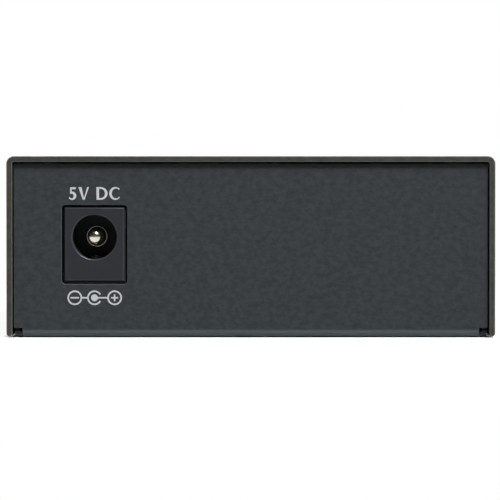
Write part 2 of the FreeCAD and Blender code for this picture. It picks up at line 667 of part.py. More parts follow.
def rj45_housing():
    """Moulded body with the plug cavity, open at the back for the contact carrier."""
    top = RJ45_TOP - RJ45_SHIELD - FIT
    body = block(RJ45_INSIDE, (RJ45_FACE + RJ45_SHIELD + FIT, RJ45_CARRIER_FRONT - FIT), (BOARD_TOP, top))
    guides = [block(span(x, RJ45_WIRE_WIDTH + RJ45_WIRE_SLACK),
                    (RJ45_FACE + RJ45_WIRE_NOSE, RJ45_CARRIER_FRONT),
                    (RJ45_CEILING - RJ45_GUIDE_DEPTH, top - RJ45_WIRE)) for x in RJ45_CONTACT_X]
    return body.cut([rj45_mouth(RJ45_MOUTH_DEPTH)] + guides)


def rj45_contacts():
    """Eight formed wires: up the back, forward under the roof, and back down into the cavity."""
    roof = RJ45_TOP - RJ45_SHIELD - 2 * RJ45_WIRE - RJ45_WIRE / 2
    nose = RJ45_FACE + RJ45_WIRE_NOSE + RJ45_WIRE
    wires = []
    for i, x in enumerate(RJ45_CONTACT_X):
        back = RJ45_ROWS[i % 2]
        path = [V(x, back, TAIL_END), V(x, back, roof), V(x, nose, roof),
                V(x, nose, RJ45_CEILING - RJ45_WIRE),
                V(x, nose + RJ45_WIRE_REACH, RJ45_CEILING - RJ45_WIRE_DROP)]
        wires.append(strip(path, RJ45_WIRE, 0, X, RJ45_WIRE_WIDTH))
    return Part.makeCompound(wires)


def rj45_contact_carrier():
    """Moulded block at the back of the housing, with a pocket that the two rows of wires drop through."""
    top = RJ45_TOP - RJ45_SHIELD - 4 * RJ45_WIRE
    carrier = block(RJ45_INSIDE, (RJ45_CARRIER_FRONT, RJ45_BACK - RJ45_SHIELD - FIT), (BOARD_TOP, top))
    pocket = block(span(RJ45_X, RJ45_CONTACTS * RJ45_CONTACT_PITCH),
                   (RJ45_CARRIER_FRONT - 1, RJ45_ROWS[0] + RJ45_WIRE / 2 + FIT), (BOARD_TOP - 1, top + 1))
    return carrier.cut(pocket)


# ------------------------------------------------------- optical transceiver

SC_SIDES = span(SC_X, SC_WIDTH)
HOOD_INSIDE = span(SC_X, SC_WIDTH - 2 * (SC_WALL + FIT))


def sc_receptacle_housing():
    """Receptacle block with two keyed mouths, and a hood behind it that is open below."""
    whole = block(SC_SIDES, (SC_FACE, SC_BACK), (BOARD_TOP, SC_TOP))
    hollow = block(span(SC_X, SC_WIDTH - 2 * SC_WALL), (SC_BLOCK_END, HOOD_END),
                   (BOARD_TOP - 1, SC_TOP - SC_WALL))
    cutters = [hollow]
    for x in SC_AXES:
        y = (SC_FACE - 1, SC_INSERT_Y)
        cutters.append(block(span(x, SC_MOUTH_WIDTH), y, span(SC_AXIS_Z, SC_MOUTH_HEIGHT)))
        cutters.append(block(span(x, SC_KEY_WIDTH), y,
                             (SC_AXIS_Z, SC_AXIS_Z + SC_MOUTH_HEIGHT / 2 + SC_KEY_HEIGHT)))
        chamber = 2 * (CAN_RADIUS + FIT)
        cutters.append(block(span(x, chamber), (SC_INSERT_Y - 1, SC_BLOCK_END + 1),
                             span(SC_AXIS_Z, chamber)))
    return whole.cut(cutters)


def sc_latch_inserts():
    """Two moulded inserts: a plate with a sleeve holder and a barbed hook on each side."""
    inserts = []
    plate_front = SC_INSERT_Y - SC_INSERT_PLATE
    holder_front = plate_front - SC_HOLDER_LENGTH
    for x in SC_AXES:
        plate = block(span(x, SC_MOUTH_WIDTH - 2 * FIT), (plate_front, SC_INSERT_Y),
                      span(SC_AXIS_Z, SC_MOUTH_HEIGHT - 2 * FIT))
        holder = rod(SC_HOLDER_OUTER, V(x, holder_front, SC_AXIS_Z), SC_HOLDER_LENGTH, Y)
        hooks = []
        for side in (-1, 1):
            inner = x + side * SC_HOOK_OFFSET
            outer = inner + side * SC_HOOK_WIDTH
            barb = inner - side * SC_HOOK_BARB
            tip = plate_front - SC_HOOK_LENGTH
            low = SC_AXIS_Z - SC_HOOK_HEIGHT / 2
            crest = tip + SC_HOOK_BARB_RUN
            points = [V(outer, plate_front, low), V(inner, plate_front, low),
                      V(inner, crest + SC_HOOK_BARB_BACK, low), V(barb, crest, low), V(inner, tip, low),
                      V(outer, tip, low)]
            hooks.append(prism(points, Z * SC_HOOK_HEIGHT))
        bore = rod(SC_SLEEVE_OUTER + FIT, V(x, holder_front - 1, SC_AXIS_Z),
                   SC_INSERT_Y - holder_front + 2, Y)
        inserts.append(merge([plate, holder] + hooks).cut(bore))
    return Part.makeCompound(inserts)


def sc_sleeves():
    """Two split ceramic sleeves that line up the plugs' ferrules."""
    start = SC_INSERT_Y - SC_INSERT_PLATE - SC_HOLDER_LENGTH + SC_SLEEVE_RECESS
    length = SC_INSERT_Y - start
    sleeves = []
    for x in SC_AXES:
        ring = rod(SC_SLEEVE_OUTER, V(x, start, SC_AXIS_Z), length, Y)
        bore = rod(SC_SLEEVE_INNER, V(x, start - 1, SC_AXIS_Z), length + 2, Y)
        slit = block(span(x, SC_SLEEVE_SLIT), (start - 1, SC_INSERT_Y + 1),
                     (SC_AXIS_Z, SC_AXIS_Z + SC_HOLDER_OUTER))
        sleeves.append(ring.cut([bore, slit]))
    return Part.makeCompound(sleeves)


def optical_can(x):
    """Metal can in the block behind a port, with three leads that lie on the transceiver's board."""
    can = rod(CAN_RADIUS, V(x, SC_INSERT_Y, SC_AXIS_Z), CAN_LENGTH, Y)
    end = SC_INSERT_Y + CAN_LENGTH
    leads = [block(span(x + side * CAN_LEAD_PITCH, CAN_LEAD), (end, end + CAN_LEAD_LENGTH),
                   span(SC_AXIS_Z, CAN_LEAD)) for side in (-1, 0, 1)]
    return merge([can] + leads)


def transceiver_board():
    """Small board in the hood that carries the driver and the receiver circuits."""
    y = (SC_BLOCK_END + TRANSCEIVER_BOARD_GAP, HOOD_END - FIT)
    return block(HOOD_INSIDE, y, (TRANSCEIVER_BOARD_UNDER, TRANSCEIVER_BOARD_TOP))


def transceiver_base():
    """Moulded floor of the hood, with two ledges under the transceiver's board and a slot for its pins."""
    left, right = HOOD_INSIDE
    y = (SC_BLOCK_END + FIT, HOOD_END - FIT)
    top = BOARD_TOP + SC_FLOOR
    floor = block(HOOD_INSIDE, y, (BOARD_TOP, top))
    ledges = [block(x, y, (top, TRANSCEIVER_BOARD_UNDER))
              for x in ((left, left + SC_WALL), (right - SC_WALL, right))]
    slot = block(span(SC_X, (TRANSCEIVER_PINS - 1) * TRANSCEIVER_PIN_PITCH + TAIL_HOLE),
                 span(TRANSCEIVER_PIN_Y, 2 * TAIL_HOLE), (BOARD_TOP - 1, top))
    return merge([floor.cut(slot)] + ledges)


def transceiver_pins():
    """Row of nine pins from the transceiver's board through the main board."""
    return Part.makeCompound([tail(x, TRANSCEIVER_PIN_Y, TRANSCEIVER_BOARD_UNDER)
                              for x in TRANSCEIVER_PIN_X])


# --------------------------------------------------- switches and indicators

DIP_SIDES = span(DIP_X, DIP_WIDTH)
DIP_BACK = DIP_FACE + DIP_DEPTH


def dip_switch_body():
    """Right-angle switch body with one upright slot for each slider."""
    body = block(DIP_SIDES, (DIP_FACE, DIP_BACK), (BOARD_TOP, BOARD_TOP + DIP_HEIGHT))
    slots = [block(span(x, DIP_SLOT_WIDTH), (DIP_FACE - 1, DIP_FACE + DIP_SLOT_DEPTH),
                   (DIP_SLOT_Z, DIP_SLOT_Z + DIP_SLOT_HEIGHT)) for x in DIP_AXES]
    return body.cut(slots)


def dip_switch_pins():
    """Two rows of solder tails under the switch."""
    return Part.makeCompound([tail(x, y) for y in DIP_ROWS for x in DIP_AXES])


def dip_slider(x):
    """Slider with a ribbed knob through the panel's window, at the lower, off end."""
    low = DIP_SLOT_Z + DIP_CLEARANCE
    front = FRONT - DIP_KNOB_PROUD
    back = DIP_FACE + DIP_SLOT_DEPTH - DIP_CLEARANCE
    knob = block(span(x, DIP_KNOB_WIDTH), (front, back), (low, low + DIP_KNOB_HEIGHT))
    groove = block(span(x, DIP_KNOB_WIDTH + 1), (front - 1, front + DIP_KNOB_GROOVE_DEPTH),
                   span(low + DIP_KNOB_HEIGHT / 2, DIP_KNOB_GROOVE))
    return knob.cut(groove)


def light_pipes():
    """Clear moulding: six legs that rise from the lamps, turn to the panel and share a web."""
    pipes = []
    face = FRONT - LIGHT_PROUD
    lamp = BOARD_TOP + LED_HEIGHT + LED_GAP
    for x in LIGHT_AXES:
        for row, leg in zip(LIGHT_ROWS, LIGHT_LEGS):
            path = [V(x, face, row), V(x, leg, row), V(x, leg, lamp)]
            pipes.append(strip(path, LIGHT_WIDTH, 0, X, LIGHT_WIDTH))
    across = span(DIP_X, (LIGHT_COLUMNS - 1) * LIGHT_PITCH)
    web = block(across, span(LIGHT_LEGS[0] - LIGHT_WEB_SETBACK, LIGHT_WEB), LIGHT_ROWS)
    foot = block(across, LIGHT_LEGS, span(BOARD_TOP + LIGHT_FOOT_HEIGHT, LIGHT_WEB))
    return merge(pipes + [web, foot])


def indicator_leds():
    """Six chip lamps, one under each leg of the light pipes."""
    height = (BOARD_TOP, BOARD_TOP + LED_HEIGHT)
    return Part.makeCompound([block(span(x, LED_LENGTH), span(leg, LED_WIDTH), height)
                              for x in LIGHT_AXES for leg in LIGHT_LEGS])


# ------------------------------------------------------- parts on the board

def bay(share):
    """Y at a share of the way from the transceiver's back to the board's end."""
    return SC_BACK + share * (BOARD_LENGTH / 2 - SC_BACK)


def leaded_package(x, y, size, sides, count, pitch, lead_width):
    """Moulded package with sloping leads along the sides given as directions."""
    dx, dy, height = size
    bottom = BOARD_TOP + PACKAGE_STAND
    body = block(span(x, dx), span(y, dy), (bottom, bottom + height))
    leads = []
    for away in sides:
        for place in spread(y, pitch, count):
            start = V(x, place, bottom + height / 2) + away * (dx / 2 - LEAD)
            foot = V(x, place, BOARD_TOP) + away * (dx / 2 + LEAD_REACH)
            leads.append(strip([start, foot], LEAD, 0, Y, lead_width))
    under = block(span(x, dx * 3), span(y, dy * 3), (BOARD_UNDER, BOARD_TOP))
    return merge([body] + [lead.cut(under) for lead in leads])


def converter_chip():
    """Leadless media conversion chip with a chamfered first corner."""
    body = block(span(CONVERTER_X, CONVERTER_SIZE), span(bay(CONVERTER_SHARE), CONVERTER_SIZE),
                 (BOARD_TOP, BOARD_TOP + CONVERTER_HEIGHT))
    upright = [edge for edge in body.Edges if edge.BoundBox.ZLength > CONVERTER_HEIGHT / 2]
    first = min(upright, key=lambda edge: edge.BoundBox.XMin + edge.BoundBox.YMin)
    return body.makeChamfer(CONVERTER_HEIGHT, [first])


def isolation_transformer():
    """Isolation transformer behind the network socket, eight leads a side."""
    y = RJ45_BACK + TRANSFORMER_GAP + TRANSFORMER_LENGTH / 2
    size = (TRANSFORMER_WIDTH, TRANSFORMER_LENGTH, TRANSFORMER_HEIGHT)
    return leaded_package(RJ45_X - TRANSFORMER_SHIFT, y, size, (X, -X), 8, LEAD_PITCH, LEAD_WIDTH)


def config_memory():
    """Eight-lead settings memory."""
    size = (MEMORY_WIDTH, MEMORY_LENGTH, MEMORY_HEIGHT)
    return leaded_package(MEMORY_X, bay(MEMORY_SHARE), size, (X, -X), 4, LEAD_PITCH, LEAD_WIDTH)


def voltage_regulator():
    """Regulator with three leads and a wide cooling tab."""
    y = bay(REGULATOR_SHARE)
    size = (REGULATOR_WIDTH, REGULATOR_LENGTH, REGULATOR_HEIGHT)
    body = leaded_package(REGULATOR_X, y, size, (-X,), 3, REGULATOR_PITCH, REGULATOR_LEAD_WIDTH)
    side = REGULATOR_X + REGULATOR_WIDTH / 2
    fin = block((side, side + REGULATOR_FIN_REACH), span(y, REGULATOR_FIN_WIDTH),
                (BOARD_TOP, BOARD_TOP + REGULATOR_FIN))
    return merge([body, fin])


def crystal():
    """Ceramic crystal with a raised metal lid."""
    y = bay(CONVERTER_SHARE)
    top = BOARD_TOP + CRYSTAL_HEIGHT
    base = block(span(MEMORY_X, CRYSTAL_WIDTH), span(y, CRYSTAL_LENGTH), (BOARD_TOP, top))
    lid = block(span(MEMORY_X, CRYSTAL_WIDTH - 2 * CRYSTAL_RIM), span(y, CRYSTAL_LENGTH - 2 * CRYSTAL_RIM),
                (top, top + CRYSTAL_LID))
    return merge([base, lid])


def electrolytic_capacitor():
    """Upright aluminium can beside the regulator."""
    return rod(CAPACITOR_RADIUS, V(CAPACITOR_X, bay(CAPACITOR_SHARE), BOARD_TOP), CAPACITOR_HEIGHT)


def power_inductor():
    """Shielded drum inductor."""
    core = block(span(INDUCTOR_X, INDUCTOR_SIZE), span(bay(INDUCTOR_SHARE), INDUCTOR_SIZE),
                 (BOARD_TOP, BOARD_TOP + INDUCTOR_HEIGHT))
    upright = [edge for edge in core.Edges if edge.BoundBox.ZLength > INDUCTOR_HEIGHT / 2]
    return core.makeChamfer(INDUCTOR_CORNER, upright)


def chips(places, length, width, height):
    """Rectangular chip parts flat on the board, their length along X."""
    return Part.makeCompound([block(span(x, length), span(y, width), (BOARD_TOP, BOARD_TOP + height))
                              for x, y in places])


def chip_capacitors():
    """Bypass capacitors round the converter chip and the regulator."""
    y = bay(CONVERTER_SHARE)
    reach = CONVERTER_SIZE / 2 + BYPASS_GAP
    places = [(CONVERTER_X + side * reach, place)
              for side in (-1, 1) for place in spread(y, BYPASS_PITCH, 3)]
    places += [(x, y + reach) for x in spread(CONVERTER_X, BYPASS_PITCH, 3)]
    supply = REGULATOR_X - REGULATOR_WIDTH / 2 - LEAD_REACH - BYPASS_GAP
    places += [(supply, place) for place in spread(bay(REGULATOR_SHARE), BYPASS_PITCH, 2)]
    return chips(places, BYPASS_WIDTH, BYPASS_LENGTH, BYPASS_HEIGHT)


def chip_resistors():
    """Termination resistors at the transformer, and bias resistors at the converter and the memory."""
    middle = RJ45_X - TRANSFORMER_SHIFT - RESISTOR_PITCH
    places = [(x, RJ45_BACK + TRANSFORMER_GAP / 2) for x in spread(middle, RESISTOR_PITCH, 4)]
    below = bay(CONVERTER_SHARE) - CONVERTER_SIZE / 2 - BYPASS_GAP
    places += [(x, below) for x in spread(CONVERTER_X, RESISTOR_PITCH, 4)]
    return chips(places, RESISTOR_WIDTH, RESISTOR_LENGTH, RESISTOR_HEIGHT)


def ferrite_beads():
    """Beads in the supply line behind the power socket."""
    places = [(JACK_X, JACK_BACK - BEAD_GAP - i * BEAD_PITCH) for i in range(3)]
    return chips(places, BEAD_LENGTH, BEAD_WIDTH, BEAD_HEIGHT)


# ------------------------------------------------------------------- board

def main_board():
    """Printed board with its screw holes, tail holes and blade slots."""
    board = block(span(0, BOARD_WIDTH), span(0, BOARD_LENGTH), (BOARD_UNDER, BOARD_TOP))
    z = (BOARD_UNDER - 1, BOARD_TOP + 1)
    cutters = [rod(BOARD_HOLE, V(x, y, z[0]), z[1] - z[0]) for x, y in BOARD_SCREWS]
    slack = TAIL_HOLE - TAIL_WIDTH
    for x, y, dx, dy in jack_tails().values():
        cutters.append(block(span(x, dx + slack), span(y, dy + slack), z))
    tails = [(x, TRANSCEIVER_PIN_Y) for x in TRANSCEIVER_PIN_X]
    tails += [(x, y) for x in DIP_AXES for y in DIP_ROWS]
    tails += [(x, RJ45_ROWS[i % 2]) for i, x in enumerate(RJ45_CONTACT_X)]
    for x, y in tails:
        cutters.append(block(span(x, TAIL_HOLE), span(y, TAIL_HOLE), z))
    for side in (-1, 1):
        cutters.append(block(span(RJ45_X + side * (RJ45_WIDTH - RJ45_SHIELD) / 2, RJ45_SHIELD + slack),
                             span(RJ45_TAB_Y, RJ45_TAB_LENGTH + slack), z))
    return board.cut(cutters)


# ------------------------------------------------------------------- export

def model():
    """Every node's shape by name."""
    nodes = {
        "base_tray": base_tray(),
        "top_cover": top_cover(),
        "cover_screws": cover_screws(),
        "board_standoffs": board_standoffs(),
        "board_screws": board_screws(),
        "main_board": main_board(),
        "dc_jack_housing": dc_jack_housing(),
        "dc_jack_pin": dc_jack_pin(),
        "dc_jack_sleeve_spring": dc_jack_sleeve_spring(),
        "dc_jack_switch_contact": dc_jack_switch_contact(),
        "rj45_shield": rj45_shield(),
        "rj45_housing": rj45_housing(),
        "rj45_contacts": rj45_contacts(),
        "rj45_contact_carrier": rj45_contact_carrier(),
        "sc_receptacle_housing": sc_receptacle_housing(),
        "sc_latch_inserts": sc_latch_inserts(),
        "sc_sleeves": sc_sleeves(),
        "transmitter_can": optical_can(SC_AXES[0]),
        "receiver_can": optical_can(SC_AXES[1]),
        "transceiver_board": transceiver_board(),
        "transceiver_base": transceiver_base(),
        "transceiver_pins": transceiver_pins(),
        "converter_chip": converter_chip(),
        "isolation_transformer": isolation_transformer(),
        "config_memory": config_memory(),
        "voltage_regulator": voltage_regulator(),
        "crystal": crystal(),
        "electrolytic_capacitors": electrolytic_capacitor(),
        "power_inductor": power_inductor(),
        "chip_capacitors": chip_capacitors(),
        "chip_resistors": chip_resistors(),
        "ferrite_beads": ferrite_beads(),
        "indicator_leds": indicator_leds(),
        "light_pipes": light_pipes(),
        "dip_switch_body": dip_switch_body(),
        "dip_switch_pins": dip_switch_pins(),
    }
    for way, x in enumerate(DIP_AXES, start=1):
        nodes["dip_slider_%d" % way] = dip_slider(x)
    return nodes


os.makedirs("parts", exist_ok=True)
for name, shape in model().items():
    shape.exportStep("parts/%s.step" % name)
    print(name, "solids", len(shape.Solids), "volume %.2f" % shape.Volume, "valid", shape.isValid())
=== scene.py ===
import json
import math

import bpy
import numpy as np
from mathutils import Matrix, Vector


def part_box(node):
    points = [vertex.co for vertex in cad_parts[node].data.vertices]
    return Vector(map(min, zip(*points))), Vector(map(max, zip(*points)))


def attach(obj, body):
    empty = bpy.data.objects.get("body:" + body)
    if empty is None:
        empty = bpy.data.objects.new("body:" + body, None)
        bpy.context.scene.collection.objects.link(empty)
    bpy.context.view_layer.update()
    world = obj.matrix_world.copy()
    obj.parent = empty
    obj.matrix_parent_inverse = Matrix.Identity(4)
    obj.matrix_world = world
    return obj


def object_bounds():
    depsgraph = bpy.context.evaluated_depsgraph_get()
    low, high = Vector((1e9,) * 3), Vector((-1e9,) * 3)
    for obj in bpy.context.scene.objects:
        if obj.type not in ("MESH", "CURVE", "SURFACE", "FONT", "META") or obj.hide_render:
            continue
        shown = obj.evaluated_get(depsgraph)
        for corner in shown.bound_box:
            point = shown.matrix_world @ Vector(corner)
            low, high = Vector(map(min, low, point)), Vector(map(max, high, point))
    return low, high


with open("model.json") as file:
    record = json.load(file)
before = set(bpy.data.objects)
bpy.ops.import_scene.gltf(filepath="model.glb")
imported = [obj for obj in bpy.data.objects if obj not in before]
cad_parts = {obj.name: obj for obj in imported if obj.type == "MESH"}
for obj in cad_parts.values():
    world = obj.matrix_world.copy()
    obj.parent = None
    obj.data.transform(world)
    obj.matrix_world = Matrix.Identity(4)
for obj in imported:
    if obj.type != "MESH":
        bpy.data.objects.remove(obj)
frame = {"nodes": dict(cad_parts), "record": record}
cad_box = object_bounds()

MM = 0.001
HOUSING = "housing"

# ---------------------------------------------------------------------- nodes


class Signal:
    """One output socket. Its operators add Math nodes, so a formula reads as it is written."""

    def __init__(self, nodes, socket):
        self.nodes = nodes
        self.socket = socket

    def maths(self, operation, *others):
        return self.nodes.add("ShaderNodeMath", {"operation": operation}, enumerate((self, *others)))

    def __add__(self, other):
        return self.maths("ADD", other)

    def __sub__(self, other):
        return self.maths("SUBTRACT", other)

    def __mul__(self, other):
        return self.maths("MULTIPLY", other)

    def __rsub__(self, other):
        return self * -1.0 + other

    def __abs__(self):
        return self.maths("ABSOLUTE")

    __radd__ = __add__
    __rmul__ = __mul__

    def rise(self, low, high):
        """Smooth step from 0 at low to 1 at high."""
        return self.nodes.add("ShaderNodeMapRange", {"interpolation_type": "SMOOTHSTEP"},
                              {0: self, 1: low, 2: high})


class Nodes:
    """A node tree, and the one method that adds any node to it."""

    def __init__(self, owner):
        owner.use_nodes = True
        self.tree = owner.node_tree

    def first(self, kind):
        return next(node for node in self.tree.nodes if node.type == kind)

    def fill(self, node, sockets):
        """Give sockets their values or links. A colour may leave out its alpha."""
        for key, value in dict(sockets).items():
            socket = node.inputs[key]
            if isinstance(value, Signal):
                self.tree.links.new(value.socket, socket)
            elif socket.type == "RGBA":
                socket.default_value = (*value[:3], 1.0)
            else:
                socket.default_value = value

    def add(self, kind, settings=(), sockets=(), out=0):
        node = self.tree.nodes.new(kind)
        for name, value in dict(settings).items():
            setattr(node, name, value)
        self.fill(node, sockets)
        return Signal(self, node.outputs[out])

    def along(self, vector, axis):
        return self.add("ShaderNodeSeparateXYZ", (), {0: vector}, axis)

    def blend(self, factor, first, second):
        """Colour that goes from first to second as the factor rises."""
        return self.add("ShaderNodeMix", {"data_type": "RGBA"}, {0: factor, 6: first, 7: second}, 2)


class Finish(Nodes):
    """A surface finish on the object's own coordinates."""

    def __init__(self, name, colour, roughness, **constants):
        self.material = bpy.data.materials.new(name)
        super().__init__(self.material)
        self.place = self.add("ShaderNodeTexCoord", out="Object")
        self.give(Base_Color=colour, Roughness=roughness, **constants)

    def give(self, **sockets):
        self.fill(self.first("BSDF_PRINCIPLED"),
                  {name.replace("_", " "): value for name, value in sockets.items()})

    def noise(self, cell, detail=2.0, roughness=0.5, stretch=(1.0, 1.0, 1.0)):
        """Noise from 0 to 1, its features about a cell wide, and longer along an axis below 1."""
        place = self.add("ShaderNodeMapping", (), {"Vector": self.place, "Scale": stretch})
        return self.add("ShaderNodeTexNoise", (), {"Vector": place, "Scale": 1.0 / cell,
                                                   "Detail": detail, "Roughness": roughness})

    def relief(self, height, depth, strength=1.0):
        """Bump of the height signal, depth deep where it is 1."""
        self.give(Normal=self.add("ShaderNodeBump", (), {"Strength": strength, "Distance": depth,
                                                         "Height": height}))


def display(red, green, blue):
    """Scene colour of a display colour given from 0 to 255."""
    level = np.array([red, green, blue]) / 255.0
    return tuple(np.where(level <= 0.04045, level / 12.92, ((level + 0.055) / 1.055) ** 2.4).tolist())


def shade(colour, factor):
    return tuple(part * factor for part in colour)


# ------------------------------------------------------------------- finishes

def powder_coat(name, colour, painted_reflection_top=None, shine=0.2):
    """Fine-textured powder coat: a leathery wrinkle, a fainter mottle and a slow drift in gloss.

    Where painted_reflection_top is given, the base colour is painted paler over the bends between
    the underside and that height: a painted reflection of the pale floor below.
    """
    wrinkle, patch, depth = 0.42 * MM, 14 * MM, 0.035 * MM
    coat = Finish(name, colour, 0.4, Specular_IOR_Level=shine)
    crease = coat.noise(wrinkle, 3.0, 0.6, (0.55, 0.55, 1.0))
    mottle = coat.noise(wrinkle * 2.2, 3.0, 0.6)
    drift = coat.noise(patch)
    tone = (crease * 0.45 + mottle * 0.55).rise(0.3, 0.7)
    skin = coat.blend(tone, shade(colour, 0.8), shade(colour, 1.2))
    if painted_reflection_top:
        # painted reflection: a pale band over the low bends stands in for the pale floor reflected
        # there
        fade_from, full_from, painted_reflection_gain = 0.1 * MM, 0.35 * MM, 8.5
        height = coat.along(coat.place, "Z")
        painted_reflection_band = (1 - height.rise(fade_from, painted_reflection_top)) * height.rise(0.0, full_from)
        skin = coat.blend(painted_reflection_band, skin, shade(colour, painted_reflection_gain))
    coat.give(Base_Color=skin, Roughness=drift * 0.08 + crease * 0.16 + 0.3)
    coat.relief(crease + mottle * 0.8, depth)
    return coat.material


def moulded(name, colour, roughness=0.42, grain=0.12 * MM, **constants):
    """Moulded plastic: a fine spark-eroded grain and a slight cloudiness."""
    patch, depth = 2.5 * MM, 0.01 * MM
    plastic = Finish(name, colour, roughness, **constants)
    spark = plastic.noise(grain)
    cloud = plastic.noise(patch)
    plastic.give(Base_Color=plastic.blend(cloud, shade(colour, 0.9), shade(colour, 1.1)),
                 Roughness=cloud * 0.1 + (roughness - 0.05))
    plastic.relief(spark, depth, 0.4)
    return plastic.material


def metal(name, colour, roughness, streak=(1.0, 1.0, 1.0), cell=0.15 * MM):
    """Plated metal with fine streaks along one axis, or an even grain, and a cloud of tarnish."""
    patch, depth = 1.8 * MM, 0.006 * MM
    plate = Finish(name, colour, roughness, Metallic=1.0)
    line = plate.noise(cell, 3.0, 0.6, streak)
    cloud = plate.noise(patch)
    plate.give(Base_Color=plate.blend(cloud, shade(colour, 0.86), shade(colour, 1.06)),
               Roughness=line * 0.16 + cloud * 0.08 + (roughness - 0.12))
    plate.relief(line, depth, 0.35)
    return plate.material


def circuit_board(name, mask, copper):
    """Solder mask over copper tracks, which show as paler lines and patches under it."""
    bare, depth = 6 * MM, 0.02 * MM
    board = Finish(name, mask, 0.32)
    track = board.add("ShaderNodeTexBrick", {"offset": 0.35, "squash": 1.6, "squash_frequency": 3},
                      {"Vector": board.place, "Color1": (0, 0, 0), "Color2": (0, 0, 0),
                       "Mortar": (1, 1, 1), "Scale": 420.0, "Mortar Size": 0.035,
                       "Mortar Smooth": 0.15})
    lines = track * (1 - board.noise(bare, 1.0).rise(0.5, 0.57) * 0.6)
    board.give(Base_Color=board.blend(lines * 0.7, mask, copper))
    board.relief(lines, depth, 0.5)
    return board.material


def sandy(name, colour, roughness):
    """Moulded epoxy or fired ceramic with a matt, slightly sandy skin."""
    grain, depth = 0.08 * MM, 0.008 * MM
    body = Finish(name, colour, roughness)
    sand = body.noise(grain, 3.0, 0.7)
    body.give(Base_Color=body.blend(sand, shade(colour, 0.8), shade(colour, 1.2)))
    body.relief(sand, depth, 0.5)
    return body.material


def light_guide(name, tint):
    """Clear acrylic light guide, slightly milky."""
    patch, depth = 0.8 * MM, 0.004 * MM
    guide = Finish(name, tint, 0.12, Transmission_Weight=0.65, IOR=1.49)
    haze = guide.noise(patch)
    guide.give(Roughness=haze * 0.14 + 0.06)
    guide.relief(haze, depth, 0.3)
    return guide.material


def ink(name, colour):
    """Screen-printed ink: slightly uneven cover with a soft dry skin."""
    mesh, depth = 0.12 * MM, 0.006 * MM
    film = Finish(name, colour, 0.6, Specular_IOR_Level=0.2)
    cover = film.noise(mesh, 3.0, 0.6)
    film.give(Base_Color=film.blend(cover.rise(0.3, 0.65), shade(colour, 0.8), colour))
    film.relief(cover, depth, 0.5)
    return film.material


PANEL_GREY = display(59, 63, 66)
COVER_GREY = display(72, 71, 66)
WHITE_INK = display(229, 229, 232)
SOCKET_BLACK = display(52, 53, 58)


def finishes():
    """Every material slot's finish, by slot name."""
    return {
        # the tray's bends are painted paler up to 1.3 mm, a painted reflection of the floor
        "tray_paint": powder_coat("tray_powder_coat", PANEL_GREY, 1.3 * MM),
        "cover_paint": powder_coat("cover_powder_coat", COVER_GREY),
        "zinc_steel": metal("zinc_plate", display(188, 190, 190), 0.34),
        "black_screw": metal("black_oxide", display(42, 42, 44), 0.42),
        "board_green": circuit_board("solder_mask", display(18, 84, 52), display(38, 118, 72)),
        "socket_black": moulded("socket_plastic", SOCKET_BLACK, 0.4, Specular_IOR_Level=0.15),
        "nickel_contact": metal("nickel_plate", display(226, 220, 204), 0.22),
        "gold_contact": metal("gold_flash", display(222, 186, 108), 0.2),
        "tin_shield": metal("tinned_shield", display(190, 191, 193), 0.3, (0.2, 1.0, 1.0), 0.4 * MM),
        "insert_blue": moulded("insert_plastic", display(34, 84, 168), 0.38),
        "sleeve_ceramic": moulded("zirconia", display(238, 234, 224), 0.18, 0.05 * MM),
        "can_metal": metal("nickel_iron_can", display(176, 172, 160), 0.3),
        "package_black": sandy("package_epoxy", display(44, 44, 46), 0.55),
        "capacitor_can": metal("capacitor_aluminium", display(204, 206, 208), 0.28),
        "crystal_lid": metal("crystal_lid_metal", display(206, 204, 196), 0.3),
        "ceramic_tan": sandy("capacitor_ceramic", display(168, 140, 108), 0.5),
        "ferrite_grey": sandy("ferrite", display(62, 62, 64), 0.6),
        "light_clear": light_guide("light_guide", display(236, 240, 240)),
        "lamp_lens": moulded("lamp_lens", display(240, 238, 222), 0.25),
        "switch_red": moulded("switch_plastic", display(168, 34, 32), 0.4),
        "slider_white": moulded("slider_plastic", display(232, 232, 228), 0.38),
    }


def dress(finish_by_slot):
    """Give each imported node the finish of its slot."""
    slot_of = {part["node"]: part["material_slot"] for part in frame["record"]["subparts"]}
    for name, node in frame["nodes"].items():
        node.data.materials.clear()
        node.data.materials.append(finish_by_slot[slot_of[name]])


# widths in millimetres
EDGE_ROUNDING = {"top_cover": 0.14, "base_tray": 0.09, "dc_jack_housing": 0.07,
                 "sc_receptacle_housing": 0.1}
EDGE_ROUNDING.update(dict.fromkeys(
    ("rj45_shield", "rj45_housing", "dip_switch_body", "light_pipes",
     "dip_slider_1", "dip_slider_2", "dip_slider_3", "dip_slider_4"), 0.06))


def round_edges(node, width, edge=None):
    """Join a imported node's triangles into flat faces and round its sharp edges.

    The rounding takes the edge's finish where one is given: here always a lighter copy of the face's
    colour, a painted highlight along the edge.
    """
    joined = node.modifiers.new("joined", "WELD")
    joined.merge_threshold = 0.001 * MM
    flat = node.modifiers.new("flat", "DECIMATE")
    flat.decimate_type = "DISSOLVE"
    flat.angle_limit = math.radians(0.5)
    rounded = node.modifiers.new("rounded", "BEVEL")
    rounded.width = width * MM
    rounded.segments = 3
    rounded.limit_method = "ANGLE"
    rounded.angle_limit = math.radians(40)
    rounded.use_clamp_overlap = False
    if edge:
        node.data.materials.append(edge)
        rounded.material = 1
    evened = node.modifiers.new("evened", "WEIGHTED_NORMAL")
    evened.weight = 100


# --------------------------------------------------------------------- shapes

def grid(points):
    """Points and faces of a surface through a rows x columns array of points, one face a cell."""
    rows, columns = points.shape[:2]
    index = np.arange(rows * columns).reshape(rows, columns)
    corners = [index[:-1, :-1], index[:-1, 1:], index[1:, 1:], index[1:, :-1]]
    return points.reshape(-1, 3), np.stack(corners, -1).reshape(-1, 4)


def new_object(name, points, faces, material):
    mesh = bpy.data.meshes.new(name)
    mesh.from_pydata(points.tolist(), [], faces.tolist())
    mesh.materials.append(material)
    mesh.update()
    made = bpy.data.objects.new(name, mesh)
    bpy.context.scene.collection.objects.link(made)
    return made


